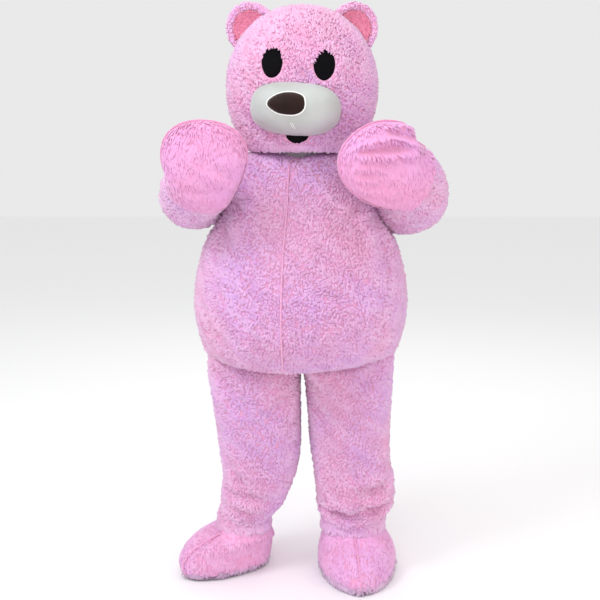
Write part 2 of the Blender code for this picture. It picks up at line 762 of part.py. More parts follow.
def eye_outline(side, extra):
    points = []
    for column in range(EYE_POINTS):
        angle = column_angle(column, EYE_POINTS)
        across = (EYE_HALF_WIDTH + extra) * math.cos(angle)
        up = (EYE_HALF_HEIGHT + extra) * math.sin(angle)
        points.append(face_point(side * EYE_SPACING / 2 + across, EYE_HEIGHT + up))
    return points


def mouth_outline(extra):
    # A rounded triangle that points down.
    points = []
    for column in range(MOUTH_POINTS):
        angle = column_angle(column, MOUTH_POINTS)
        narrow = MOUTH_MIDDLE + MOUTH_TOP * math.sin(angle)
        across = (MOUTH_HALF_WIDTH + extra) * math.cos(angle) * narrow
        up = (MOUTH_HALF_HEIGHT + extra) * math.sin(angle)
        points.append((MOUTH_X + across, MOUTH_HEIGHT + up))
    return points


def opening_cutter(name, outline, parent):
    depths = (FACE_CUT_FRONT, FACE_CUT_BACK)
    rings = [[Vector((x, y, z)) for x, z in outline] for y in depths]
    return make_cutter(name, capped_mesh(rings), parent)


def gauze_mesh(outline):
    centre_x = sum(x for x, z in outline) / len(outline)
    centre_z = sum(z for x, z in outline) / len(outline)
    layers = []
    for depth in (GAUZE_INSET, GAUZE_INSET + GAUZE):
        rows = []
        for share in (0.0, 0.5, 1.0):
            row = []
            for x, z in outline:
                px = centre_x + share * (x - centre_x)
                pz = centre_z + share * (z - centre_z)
                row.append(Vector((px, face_depth(px, pz) + depth, pz)))
            rows.append(row)
        layers.append(rows)
    return grid_mesh(layers[0], layers[1], True)


def build_head_shell(parent):
    outer = head_rings()
    fixed = {0: raised(outer[0], FOAM_SHELL)}
    inner = inner_rings(outer, FOAM_SHELL, fixed)
    half = COLUMNS // 2
    place = Matrix.Translation((HEAD_X, HEAD_Y, HEAD[0].height))
    back = panel_mesh(outer, inner, 0, half)
    add_object("head_back", back, place, HEAD_PINK, 0.9, parent)
    front = panel_mesh(outer, inner, half, COLUMNS)
    face = add_object("head_front", front, place, HEAD_PINK, 0.9, parent)
    openings = {
        "eye_mesh_left": (eye_outline(1, 0.0), eye_outline(1, -SEAM_GAP)),
        "eye_mesh_right": (eye_outline(-1, 0.0), eye_outline(-1, -SEAM_GAP)),
        "mouth_mesh": (mouth_outline(0.0), mouth_outline(-SEAM_GAP)),
    }
    for name, (edge, outline) in openings.items():
        cut(face, opening_cutter(name + "_opening", edge, parent))
        add_object(name, gauze_mesh(outline), place, GAUZE_BLACK, 0.95, parent)


def dome_rings(centre, half, squareness, extra):
    # Rings about the front-to-back axis, from the back pole to the front pole.
    rings = []
    for row in range(DOME_ROWS + 1):
        turn = -math.pi / 2 + math.pi * row / DOME_ROWS
        spread = max(math.cos(turn), 0.0)
        ring = []
        for column in range(COLUMNS):
            angle = column_angle(column, COLUMNS)
            edge = superellipse(angle, half.x + extra, half.z + extra, half.z + extra, squareness)
            offset = Vector((edge.x * spread, 0, edge.y * spread))
            offset.y = -(half.y + extra) * math.sin(turn)
            ring.append(centre + offset)
        rings.append(ring)
    return rings


def rolled(rings, centre):
    turn = Matrix.Rotation(FACE_ROLL, 3, "Y")
    return [[centre + turn @ (point - centre) for point in ring] for ring in rings]


def build_muzzle(parent, head_cutter):
    place = Matrix.Translation(MUZZLE_CENTRE)
    shape = (MUZZLE_CENTRE, MUZZLE_HALF, MUZZLE_SQUARENESS)
    rings = rolled(dome_rings(*shape, 0.0), MUZZLE_CENTRE)
    muzzle = add_object("muzzle", capped_mesh(rings), place, SATIN_WHITE, 0.5, parent)
    cut(muzzle, head_cutter)
    grown = rolled(dome_rings(*shape, CUT_GAP), MUZZLE_CENTRE)
    return make_cutter("muzzle_room", capped_mesh(grown), parent)


def build_nose(parent, muzzle_cutter):
    rings = dome_rings(NOSE_CENTRE, NOSE_HALF, NOSE_SQUARENESS, 0.0)
    rings = rolled(rings, NOSE_CENTRE)
    place = Matrix.Translation(NOSE_CENTRE)
    nose = add_object("nose", capped_mesh(rings), place, NOSE_BROWN, 0.45, parent)
    cut(nose, muzzle_cutter)


def ear_rings(rows, back_pole, front_pole):
    rings = [[Vector((0, back_pole, 0))] * ARM_COLUMNS]
    for row in rows:
        ring = []
        for column in range(ARM_COLUMNS):
            angle = -column_angle(column, ARM_COLUMNS)
            across = EAR_HALF_WIDTH * row.reach * math.cos(angle)
            up = EAR_HALF_HEIGHT * row.reach * math.sin(angle)
            ring.append(Vector((across, row.depth, up)))
        rings.append(ring)
    rings.append([Vector((0, front_pole, 0))] * ARM_COLUMNS)
    return rings


def build_ears(parent, head_cutter):
    cup = EAR[-2:]
    for name, side in (("left", 1), ("right", -1)):
        centre = Vector((side * EAR_CENTRE.x + HEAD_X, EAR_CENTRE.y, EAR_CENTRE.z))
        turn = Matrix.Rotation(side * EAR_TURN, 4, "Z")
        lean = Matrix.Rotation(side * EAR_LEAN, 4, "Y")
        place = Matrix.Translation(centre) @ turn @ lean
        back = capped_mesh(ear_rings(EAR, EAR_BACK_POLE, EAR_CUP_POLE))
        back.transform(place)
        part = add_object(f"ear_{name}_back", back, place, HEAD_PINK, 0.9, parent)
        cut(part, head_cutter)
        behind = [EarRow(row.reach, row.depth - CUT_GAP) for row in reversed(cup)]
        before = [EarRow(row.reach - EAR_LINING_INSET, row.depth - EAR_LINING) for row in cup]
        lining = ear_rings(behind + before, EAR_CUP_POLE - SEAM_GAP, EAR_CUP_POLE - EAR_LINING)
        bm = capped_mesh(lining)
        bm.transform(place)
        part = add_object(f"ear_{name}_inner", bm, place, INNER_PINK, 0.85, parent)
        cut(part, head_cutter)


def build_costume():
    for old in list(bpy.data.objects):
        bpy.data.objects.remove(old, do_unlink=True)
    costume = bpy.data.objects.new("costume", None)
    costume.location = (0, 0, -SHOULDER_HEIGHT)
    bpy.context.scene.collection.objects.link(costume)
    armholes = {name: armhole_cutter(name, costume) for name in ARMS}
    torso_hollow = build_torso(costume, armholes)
    build_sleeves(costume, torso_hollow)
    build_mitts(costume)
    build_neck_band(costume)
    build_legs(costume)
    build_feet(costume)
    build_head_shell(costume)
    head_room = make_cutter("head_room", capped_mesh(head_rings(SEAM_GAP)), costume)
    muzzle_room = build_muzzle(costume, head_room)
    build_nose(costume, muzzle_room)
    build_ears(costume, head_room)


build_costume()
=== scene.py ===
import math

import bmesh
import bpy
import numpy as np
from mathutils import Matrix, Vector
from mathutils.bvhtree import BVHTree
from mathutils.kdtree import KDTree


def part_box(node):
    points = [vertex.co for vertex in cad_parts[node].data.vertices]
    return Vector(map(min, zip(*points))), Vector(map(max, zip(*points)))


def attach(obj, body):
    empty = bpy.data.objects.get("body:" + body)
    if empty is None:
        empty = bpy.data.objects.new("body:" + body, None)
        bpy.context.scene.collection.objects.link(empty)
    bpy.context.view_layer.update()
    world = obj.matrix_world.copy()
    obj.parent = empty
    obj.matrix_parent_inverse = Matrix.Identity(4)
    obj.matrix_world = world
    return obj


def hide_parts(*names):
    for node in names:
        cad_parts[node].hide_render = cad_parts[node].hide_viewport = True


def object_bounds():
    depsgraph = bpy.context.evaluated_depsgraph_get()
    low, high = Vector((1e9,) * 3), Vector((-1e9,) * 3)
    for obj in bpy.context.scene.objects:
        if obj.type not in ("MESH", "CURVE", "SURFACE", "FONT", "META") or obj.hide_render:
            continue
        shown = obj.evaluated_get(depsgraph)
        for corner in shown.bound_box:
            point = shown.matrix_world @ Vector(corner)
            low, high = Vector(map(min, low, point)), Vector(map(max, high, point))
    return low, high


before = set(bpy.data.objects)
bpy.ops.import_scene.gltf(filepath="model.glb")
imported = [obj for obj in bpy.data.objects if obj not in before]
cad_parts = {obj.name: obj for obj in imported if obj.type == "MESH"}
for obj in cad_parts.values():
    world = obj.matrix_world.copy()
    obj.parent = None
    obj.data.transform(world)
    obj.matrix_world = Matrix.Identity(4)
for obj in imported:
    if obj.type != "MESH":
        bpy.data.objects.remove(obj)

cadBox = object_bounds()
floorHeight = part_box("sole_left")[0][2]
scene = bpy.context.scene
print("frame loaded")

# The camera stands 3 m in front and a little above the middle, as in the photograph.
view = dict(distance=3.0, height=1.45, aside=-0.0031, tiltDown=10.45, lens=57.96)


def makeCamera():
    camera = bpy.data.objects.new("camera", bpy.data.cameras.new("camera"))
    camera.data.lens = view["lens"]
    camera.data.sensor_width = 36
    camera.location = (view["aside"], -view["distance"], view["height"] + floorHeight)
    camera.rotation_euler = (math.radians(90 - view["tiltDown"]), 0, 0)
    scene.collection.objects.link(camera)
    scene.camera = camera


makeCamera()
print("camera placed")


# Shader maths: a Wire is a node's output that can be added, taken away and multiplied.
class Wire:
    def __init__(self, finish, socket):
        self.finish = finish
        self.socket = socket

    def maths(self, operation, first, second):
        return self.finish.node("ShaderNodeMath", {"operation": operation}, {0: first, 1: second})

    def __add__(self, other):
        return self.maths("ADD", self, other)

    def __sub__(self, other):
        return self.maths("SUBTRACT", self, other)

    def __mul__(self, other):
        return self.maths("MULTIPLY", self, other)

    def __rsub__(self, other):
        return self.maths("SUBTRACT", other, self)

    __radd__ = __add__
    __rmul__ = __mul__


class Finish:
    def __init__(self, name, roughness, **fixed):
        self.material = bpy.data.materials.new(name)
        self.material.use_nodes = True
        self.tree = self.material.node_tree
        self.shader = self.tree.nodes["Principled BSDF"]
        self.shader.inputs["Roughness"].default_value = roughness
        for socket, value in fixed.items():
            self.shader.inputs[socket.replace("_", " ")].default_value = value

    def node(self, kind, settings=None, inputs=None, output=0):
        made = self.tree.nodes.new(kind)
        for key, value in (settings or {}).items():
            if key == "stops":
                ramp = made.color_ramp
                for place, (position, colour) in enumerate(value):
                    if place > 1:
                        ramp.elements.new(position)
                    ramp.elements[place].position = position
                    ramp.elements[place].color = (*colour, 1)
            else:
                setattr(made, key, value)
        for key, value in (inputs or {}).items():
            if isinstance(value, Wire):
                self.tree.links.new(value.socket, made.inputs[key])
            else:
                made.inputs[key].default_value = value
        return Wire(self, made.outputs[output])

    def place(self):
        return self.node("ShaderNodeTexCoord", output="Object")

    def noise(self, scale, detail=2.0, roughness=0.5):
        values = {"Scale": scale, "Detail": detail, "Roughness": roughness}
        return self.node("ShaderNodeTexNoise", None, {"Vector": self.place(), **values})

    def attribute(self, name):
        return self.node("ShaderNodeAttribute", {"attribute_name": name}, None, "Fac")

    def ramp(self, value, stops):
        return self.node("ShaderNodeValToRGB", {"stops": stops}, {"Fac": value})

    def mix(self, share, first, second, blend="MIX"):
        settings = {"data_type": "RGBA", "blend_type": blend}
        values = {0: share, 6: first, 7: second}
        return self.node("ShaderNodeMix", settings, values, 2)

    def colour(self, value):
        self.tree.links.new(value.socket, self.shader.inputs["Base Color"])

    def roughness(self, value):
        self.tree.links.new(value.socket, self.shader.inputs["Roughness"])

    def bump(self, height, strength, distance):
        settings = {"Strength": strength, "Distance": distance, "Height": height}
        normal = self.node("ShaderNodeBump", None, settings)
        self.tree.links.new(normal.socket, self.shader.inputs["Normal"])


# Plush: the colours of the pile from its root to its tip, in two shades that drift. The root
# colour is painted shade between the locks and the tip colour is painted light on their ends;
# drift is a lilac, partly the plush's own colour and partly a painted tint of cool coloured light
plush = {
    "body": dict(
        root=(0.64, 0.29, 0.49), pile=(0.90, 0.46, 0.70), drift=(0.81, 0.47, 0.86),
        tip=(0.97, 0.65, 0.91), sheen=0.35,
    ),
    "head": dict(
        root=(0.64, 0.28, 0.46), pile=(0.89, 0.44, 0.66), drift=(0.83, 0.46, 0.80),
        tip=(0.95, 0.63, 0.87), sheen=0.35,
    ),
    "mitt": dict(
        root=(0.79, 0.32, 0.55), pile=(0.81, 0.33, 0.56), drift=(0.76, 0.36, 0.69),
        tip=(0.85, 0.42, 0.70), sheen=0.4,
    ),
    "foot": dict(
        root=(0.80, 0.34, 0.56), pile=(0.88, 0.40, 0.65), drift=(0.84, 0.43, 0.78),
        tip=(0.93, 0.54, 0.84), sheen=0.4,
    ),
    "ear": dict(
        root=(0.68, 0.19, 0.28), pile=(0.84, 0.27, 0.42), drift=(0.86, 0.34, 0.42),
        tip=(0.93, 0.44, 0.58), sheen=0.3,
    ),
    "shag": dict(
        root=(0.40, 0.24, 0.38), pile=(0.62, 0.42, 0.62), drift=(0.72, 0.44, 0.66),
        tip=(0.88, 0.66, 0.86), sheen=0.3,
    ),
}


def solid(colour):
    return (*colour, 1)


# How the colours of a lock change: areas of pile and drift colour, partly a painted light tint,
# then from the painted shade at the root to the pile, then to the painted light at the tip
pileLooks = dict(
    lightTintAreas=3.6, lightTintEdges=(0.40, 0.60), rootShadeFade=1.7, tipLightStart=0.35, tipLightFade=1.1, toneFade=0.8,
)


def twoStops(low, high):
    return [(low, (0, 0, 0)), (high, (1, 1, 1))]


def pileFinish(kind):
    shades = plush[kind]
    finish = Finish(
        kind + "Pile", 0.85,
        Sheen_Weight=shades["sheen"], Sheen_Roughness=0.4, Specular_IOR_Level=0.25,
    )
    # Partly painted light: random areas mix the pile colour with drift, a lilac that is partly the
    # plush's own colour and partly a tint standing in for cool coloured light
    clouds = finish.noise(pileLooks["lightTintAreas"], 3.0)
    lightTintAreas = finish.ramp(clouds, twoStops(*pileLooks["lightTintEdges"]))
    pile = finish.mix(lightTintAreas, solid(shades["pile"]), solid(shades["drift"]))
    lift = finish.attribute("lift")
    tone = finish.attribute("tone")
    # Painted shade: the root colour darkens each lock towards its root, where the locks shade each
    # other
    rootShadedPile = finish.mix(lift * pileLooks["rootShadeFade"], solid(shades["root"]), pile)
    # Painted light: the tip colour lightens each lock towards its tip, more or less by its tone
    tipLightShare = (lift - pileLooks["tipLightStart"]) * pileLooks["tipLightFade"]
    tipLightShare = tipLightShare + (tone - 0.5) * pileLooks["toneFade"]
    finish.colour(finish.mix(tipLightShare, rootShadedPile, solid(shades["tip"])))
    return finish.material


# The cloth under the pile is painted shade: the darker root colour mixed with the pile colour
# stands in for the shade between the locks
def backingFinish(kind):
    shades = plush[kind]
    finish = Finish(
        kind + "Backing", 0.95,
        Sheen_Weight=shades["sheen"], Sheen_Roughness=0.5, Specular_IOR_Level=0.2,
    )
    curls = finish.noise(190.0, 3.0, 0.6)
    spread = finish.ramp(curls, twoStops(0.25, 0.60))
    finish.colour(finish.mix(spread, solid(shades["root"]), solid(shades["pile"])))
    finish.bump(curls, 0.8, 0.004)
    return finish.material


def satinFinish(name, settings):
    finish = Finish(
        name, settings["roughness"],
        Sheen_Weight=0.25, Sheen_Roughness=0.35, Specular_IOR_Level=settings["gloss"],
    )
    clouds = finish.ramp(finish.noise(9.0, 2.0), twoStops(0.35, 0.70))
    finish.colour(finish.mix(clouds, solid(settings["low"]), solid(settings["high"])))
    weave = finish.noise(900.0, 1.0)
    soft = finish.noise(28.0, 2.0)
    finish.roughness(weave * 0.15 + settings["roughness"] - 0.07)
    finish.bump(weave * 0.25 + soft, 0.25, 0.003)
    return finish.material


# The plain trims: the shades of the gauze, the neck band and the soles
trims = {
    "gauze": dict(low=(0.0015, 0.0015, 0.002), high=(0.012, 0.011, 0.013), mesh=700.0),
    "band": dict(low=(0.36, 0.37, 0.36), high=(0.66, 0.68, 0.66), ribs=95.0),
    "sole": dict(low=(0.16, 0.10, 0.16), high=(0.40, 0.30, 0.40), fibres=240.0),
}


def gauzeFinish():
    finish = Finish("gauzeBlack", 0.95, Specular_IOR_Level=0.02)
    net = finish.node(
        "ShaderNodeTexVoronoi", {"feature": "DISTANCE_TO_EDGE"},
        {"Vector": finish.place(), "Scale": trims["gauze"]["mesh"]},
    )
    threads = finish.ramp(net, [(0.05, (1, 1, 1)), (0.16, (0, 0, 0))])
    finish.colour(finish.mix(threads, solid(trims["gauze"]["low"]), solid(trims["gauze"]["high"])))
    finish.bump(threads, 0.4, 0.0008)
    return finish.material


def bandFinish():
    finish = Finish("bandKnit", 0.85, Sheen_Weight=0.3, Specular_IOR_Level=0.25)
    ribs = finish.node(
        "ShaderNodeTexWave", {"wave_type": "BANDS", "bands_direction": "X"},
        {"Vector": finish.place(), "Scale": trims["band"]["ribs"], "Distortion": 0.6},
    )
    finish.colour(finish.mix(ribs, solid(trims["band"]["low"]), solid(trims["band"]["high"])))
    finish.bump(ribs, 0.6, 0.002)
    return finish.material


def soleFinish():
    finish = Finish("soleFelt", 0.95, Sheen_Weight=0.3, Specular_IOR_Level=0.15)
    fibres = finish.noise(trims["sole"]["fibres"], 4.0, 0.65)
    spread = finish.ramp(fibres, twoStops(0.3, 0.75))
    finish.colour(finish.mix(spread, solid(trims["sole"]["low"]), solid(trims["sole"]["high"])))
    finish.bump(fibres, 0.7, 0.002)
    return finish.material


satins = {
    "muzzle": dict(low=(0.46, 0.48, 0.45), high=(0.54, 0.57, 0.55), roughness=0.5, gloss=0.3),
    "nose": dict(low=(0.016, 0.006, 0.005), high=(0.034, 0.014, 0.010), roughness=0.6, gloss=0.15),
}
pileMaterials = {kind: pileFinish(kind) for kind in plush}
backingMaterials = {kind: backingFinish(kind) for kind in plush}
plainMaterials = {
    "muzzle": satinFinish("muzzleSatin", satins["muzzle"]),
    "nose": satinFinish("noseSatin", satins["nose"]),
    "gauze": gauzeFinish(),
    "band": bandFinish(),
    "sole": soleFinish(),
}
print("materials made")


# Creases: a soft trough from one place to another, with a low ridge along it. Heights
# are above the floor; a crease is pressed into the cloth that lies nearest to it.
creases = {
    "muzzle": [
        dict(start=(-0.016, -0.32, 1.404), end=(-0.015, -0.33, 1.424), width=0.007, depth=0.004),
    ],
    "torso": [
        dict(start=(0.05, -0.29, 0.97), end=(0.16, -0.26, 0.93), width=0.016, depth=0.005),
        dict(start=(-0.14, -0.27, 0.86), end=(-0.10, -0.24, 0.76), width=0.014, depth=0.006),
        dict(start=(0.10, -0.27, 0.84), end=(0.13, -0.20, 0.75), width=0.014, depth=0.006),
        dict(start=(-0.24, -0.19, 0.84), end=(-0.20, -0.18, 0.76), width=0.013, depth=0.005),
        dict(start=(0.24, -0.18, 0.82), end=(0.21, -0.16, 0.76), width=0.013, depth=0.005),
        dict(start=(-0.21, -0.10, 1.17), end=(-0.25, -0.17, 1.06), width=0.016, depth=0.007),
        dict(start=(0.21, -0.10, 1.16), end=(0.25, -0.17, 1.04), width=0.016, depth=0.007),
        dict(start=(0.20, -0.14, 1.22), end=(0.12, -0.20, 1.15), width=0.014, depth=0.005),
        dict(start=(-0.19, -0.14, 1.24), end=(-0.11, -0.19, 1.18), width=0.014, depth=0.004),
        dict(start=(-0.12, 0.18, 1.10), end=(-0.20, 0.18, 0.98), width=0.016, depth=0.006),
        dict(start=(0.14, 0.17, 1.14), end=(0.23, 0.16, 1.02), width=0.016, depth=0.006),
        dict(start=(-0.05, 0.21, 0.93), end=(0.10, 0.21, 0.89), width=0.016, depth=0.006),
        dict(start=(-0.20, 0.15, 0.80), end=(-0.05, 0.19, 0.78), width=0.014, depth=0.006),
    ],
    "leg_right": [
        dict(start=(-0.235, -0.07, 0.292), end=(-0.105, -0.10, 0.268), width=0.013, depth=0.020),
        dict(start=(-0.225, -0.08, 0.385), end=(-0.160, -0.11, 0.295), width=0.013, depth=0.013),
        dict(start=(-0.240, -0.06, 0.240), end=(-0.130, -0.09, 0.222), width=0.011, depth=0.011),
        dict(start=(-0.26, -0.08, 0.68), end=(-0.18, -0.13, 0.60), width=0.017, depth=0.012),
        dict(start=(-0.03, -0.08, 0.62), end=(-0.09, -0.12, 0.55), width=0.016, depth=0.010),
        dict(start=(-0.24, 0.07, 0.265), end=(-0.10, 0.10, 0.245), width=0.013, depth=0.026),
        dict(start=(-0.20, 0.10, 0.45), end=(-0.07, 0.10, 0.42), width=0.016, depth=0.016),
        dict(start=(-0.22, 0.10, 0.66), end=(-0.10, 0.13, 0.63), width=0.017, depth=0.012),
    ],
    "leg_left": [
        dict(start=(0.29, -0.05, 0.255), end=(0.19, -0.12, 0.235), width=0.013, depth=0.026),
        dict(start=(0.06, -0.06, 0.225), end=(0.17, -0.12, 0.215), width=0.012, depth=0.024),
        dict(start=(0.27, -0.08, 0.325), end=(0.19, -0.12, 0.290), width=0.014, depth=0.024),
        dict(start=(0.24, -0.09, 0.70), end=(0.16, -0.14, 0.63), width=0.017, depth=0.010),
        dict(start=(0.03, -0.08, 0.60), end=(0.09, -0.12, 0.52), width=0.016, depth=0.010),
        dict(start=(0.09, 0.09, 0.275), end=(0.25, 0.08, 0.250), width=0.013, depth=0.026),
        dict(start=(0.07, 0.10, 0.44), end=(0.21, 0.10, 0.41), width=0.016, depth=0.016),
        dict(start=(0.10, 0.13, 0.66), end=(0.22, 0.10, 0.62), width=0.017, depth=0.012),
    ],
    "sleeve_right": [
        dict(start=(-0.30, -0.09, 1.30), end=(-0.25, -0.12, 1.22), width=0.012, depth=0.010),
        dict(start=(-0.25, -0.06, 1.32), end=(-0.24, -0.09, 1.18), width=0.012, depth=0.003),
        dict(start=(-0.36, 0.10, 1.27), end=(-0.44, 0.02, 1.22), width=0.014, depth=0.006),
        dict(start=(-0.22, 0.07, 1.30), end=(-0.24, 0.06, 1.18), width=0.012, depth=0.003),
    ],
    "sleeve_left": [
        dict(start=(0.28, -0.09, 1.28), end=(0.24, -0.12, 1.20), width=0.012, depth=0.010),
        dict(start=(0.24, -0.06, 1.31), end=(0.23, -0.09, 1.17), width=0.012, depth=0.003),
        dict(start=(0.34, 0.10, 1.25), end=(0.42, 0.02, 1.19), width=0.014, depth=0.006),
        dict(start=(0.22, 0.07, 1.29), end=(0.23, 0.06, 1.17), width=0.012, depth=0.003),
    ],
    "mitt_right": [
        dict(start=(-0.34, -0.38, 1.27), end=(-0.24, -0.40, 1.25), width=0.010, depth=0.005),
        dict(start=(-0.19, -0.38, 1.30), end=(-0.26, -0.40, 1.34), width=0.012, depth=0.005),
    ],
    "mitt_left": [
        dict(start=(0.16, -0.38, 1.375), end=(0.30, -0.33, 1.390), width=0.010, depth=0.014),
        dict(start=(0.24, -0.34, 1.425), end=(0.33, -0.30, 1.410), width=0.009, depth=0.010),
        dict(start=(0.15, -0.39, 1.315), end=(0.22, -0.37, 1.300), width=0.009, depth=0.011),
        dict(start=(0.16, -0.38, 1.285), end=(0.24, -0.35, 1.275), width=0.009, depth=0.009),
    ],
}


# A crease reaches further front to back than sideways, fades at both ends, widens on its
# way, and has its ridge at a few widths from the trough.
creaseForm = dict(
    frontToBack=0.3, ends=0.08, startWidth=0.8, widening=0.6, ridge=0.45, ridgeAway=2.1,
)


def readMesh(mesh):
    # The places and normals of a mesh's points, a row each
    points = np.empty(len(mesh.vertices) * 3)
    normals = np.empty(len(mesh.vertices) * 3)
    mesh.vertices.foreach_get("co", points)
    mesh.vertex_normals.foreach_get("vector", normals)
    return points.reshape(-1, 3), normals.reshape(-1, 3)


def writeMesh(mesh, points):
    mesh.vertices.foreach_set("co", points.ravel())
    mesh.update()


def pressCreases(mesh, rows):
    points, normals = readMesh(mesh)
    form = creaseForm
    lift = np.array((0, 0, floorHeight))
    moved = np.zeros(len(points))
    for row in rows:
        start, end = np.array(row["start"]) + lift, np.array(row["end"]) + lift
        along = end - start
        share = np.clip((points - start) @ along / (along @ along), 0, 1)
        offset = points - start - share[:, None] * along
        away = np.linalg.norm(offset * (1, form["frontToBack"], 1), axis=1)
        fade = np.sin(np.pi * np.clip(share, form["ends"], 1 - form["ends"])) ** 0.5
        wide = row["width"] * (form["startWidth"] + form["widening"] * share)
        trough = np.exp(-((away / wide) ** 2))
        ridge = form["ridge"] * np.exp(-(((away - form["ridgeAway"] * wide) / wide) ** 2))
        moved += row["depth"] * fade * (ridge - trough)
    writeMesh(mesh, points + normals * moved[:, None])


# The cloth pieces: a smooth copy of each solid's outer face, set in by part of the pile
hair, flatAngle = 1e-5, math.radians(60)


def outerFaces(bm, sharp, thin, middle):
    # The smooth run of faces, with a wall behind them, that looks most away from the middle.
    # A run ends at an edge sharper than sharp. The wall is at most thin thick.
    walls = BVHTree.FromBMesh(bm)
    left = set()
    for face in bm.faces:
        start = face.calc_center_median() - face.normal * hair
        if walls.ray_cast(start, -face.normal, thin)[0] is not None:
            left.add(face)
    best, bestArea = [], 0.0
    while left:
        seed = left.pop()
        group, stack = [seed], [seed]
        while stack:
            face = stack.pop()
            for edge in face.edges:
                for other in edge.link_faces:
                    if other in left and edge.calc_face_angle(0.0) < sharp:
                        left.discard(other)
                        group.append(other)
                        stack.append(other)
        area = sum(
            face.calc_area() * face.normal.dot(face.calc_center_median() - middle)
            for face in group
        )
        if area > bestArea:
            best, bestArea = group, area
    return best


def limbMiddle(node):
    # The middle of all the panels of the same limb, which lies in its hollow
    limb = node if "_" not in node else node.rsplit("_", 1)[0]
    limb = "torso" if node.startswith("torso") else limb
    boxes = [np.array(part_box(name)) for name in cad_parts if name.startswith(limb)]
    low = np.min([box[0] for box in boxes], axis=0)
    high = np.max([box[1] for box in boxes], axis=0)
    return Vector((low + high) / 2)


def finalMesh(holder):
    # The mesh that a linked object's modifiers or curve make. The object itself goes.
    evaluated = holder.evaluated_get(bpy.context.evaluated_depsgraph_get())
    mesh = bpy.data.meshes.new_from_object(evaluated)
    bpy.data.objects.remove(holder)
    mesh.shade_smooth()
    return mesh


def smoothMesh(name, node, settings):
    bm = bmesh.new()
    bm.from_mesh(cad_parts[node].data)
    bmesh.ops.remove_doubles(bm, verts=bm.verts, dist=hair)
    if settings["outerOnly"]:
        sharp = math.radians(settings["sharp"])
        kept = set(outerFaces(bm, sharp, settings["thin"], limbMiddle(node)))
        spare = [face for face in bm.faces if face not in kept]
        bmesh.ops.delete(bm, geom=spare, context="FACES")
    bmesh.ops.join_triangles(
        bm, faces=bm.faces, angle_face_threshold=flatAngle, angle_shape_threshold=flatAngle
    )
    mesh = bpy.data.meshes.new(name)
    bm.to_mesh(mesh)
    bm.free()
    holder = bpy.data.objects.new(name, mesh)
    scene.collection.objects.link(holder)
    smooth = holder.modifiers.new("smooth", "SUBSURF")
    smooth.levels = smooth.render_levels = settings["levels"]
    smooth.boundary_smooth = "PRESERVE_CORNERS"
    fine = finalMesh(holder)
    fine.name = name
    return fine


def setIn(mesh, depth):
    points, normals = readMesh(mesh)
    writeMesh(mesh, points - normals * depth)


def meshArea(mesh):
    return sum(polygon.area for polygon in mesh.polygons)


def addPiece(name, mesh, material, node, wall):
    mesh.materials.clear()
    mesh.materials.append(material)
    piece = bpy.data.objects.new(name, mesh)
    scene.collection.objects.link(piece)
    if wall:
        thick = piece.modifiers.new("wall", "SOLIDIFY")
        thick.thickness = wall
        thick.offset = -1
    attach(piece, "root")
    if node:
        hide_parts(node)
    return piece


# One lock of pile of unit size: a low, pointed curl along Y from its root at the origin.
# Its six points are the root, left and right sides, two along the ridge, and the tip.
def lockShape(bend):
    side, first, second, tip = bend["side"], bend["first"], bend["second"], bend["tip"]
    bm = bmesh.new()
    rows = [
        (0, -0.12, -0.3), (-0.5, *side), (0.5, *side),
        (0, *first), (0.06, *second), (0.16, *tip),
    ]
    root, left, right, low, high, end = (bm.verts.new(place) for place in rows)
    triangles = [
        (root, low, left), (root, right, low), (left, low, high), (right, high, low),
        (left, high, end), (right, end, high),
    ]
    for triangle in triangles:
        bm.faces.new(triangle)
    bm.verts.index_update()
    points = np.array([vert.co[:] for vert in bm.verts])
    corners = np.array([[vert.index for vert in face.verts] for face in bm.faces])
    bm.free()
    return points, corners


# The places, along and up, of a lock's sides, ridge and tip
curl = dict(side=(0.42, 0.05), first=(0.30, 0.85), second=(0.68, 1.0), tip=(1.05, 0.30))
lay = dict(side=(0.45, 0.02), first=(0.30, 0.70), second=(0.70, 1.0), tip=(1.10, 0.55))

# Each fur: locks to a square metre, their width, reach and rise in metres
furs = {
    "body": dict(
        density=30000, width=0.0065, reach=0.0135, rise=0.0084,
        swirl=1.1, loose=0.40, edge=0.35, shape=curl,
    ),
    "head": dict(
        density=31000, width=0.0065, reach=0.0135, rise=0.0082,
        swirl=1.1, loose=0.42, edge=0.90, shape=curl,
    ),
    "mitt": dict(
        density=40000, width=0.0062, reach=0.0200, rise=0.0017,
        swirl=0.30, loose=0.10, edge=0.60, shape=lay,
    ),
    "foot": dict(
        density=32000, width=0.0064, reach=0.0180, rise=0.0034,
        swirl=0.6, loose=0.22, edge=0.60, shape=lay,
    ),
    "ear": dict(
        density=32000, width=0.0062, reach=0.0100, rise=0.0038,
        swirl=0.8, loose=0.40, edge=0.60, shape=curl,
    ),
    "fringe": dict(
        density=42000, width=0.0080, reach=0.0230, rise=0.0075,
        swirl=0.4, loose=0.30, edge=1.0, shape=lay,
    ),
    "shag": dict(
        density=42000, width=0.0068, reach=0.0240, rise=0.0080,
        swirl=0.6, loose=0.45, edge=1.0, shape=lay,
    ),
}


# How locks vary: their turn, rise and tone follow smooth fields, each with its own scale. Near an
# open edge the tone also drops, painted shade where the pile parts at a seam
lockLooks = dict(
    turnScales=(22, 61), fineTurn=0.7, sizes=(0.75, 1.2), widths=(0.8, 1.25),
    riseScale=120, riseChange=0.22,
    toneScale=34, toneChange=0.35, toneGrain=0.24, seamPaintedShade=0.8, liftStart=0.15,
)
# Locks get shorter within edgeFade of an open edge, and stop where another solid lies over
# them, within coverReach. Solids further off than coverMargin aren't tried.
edgeFade, coverStart, coverReach, coverMargin = 0.022, 0.0012, 0.013, 0.03
aboveFloor = 0.0004


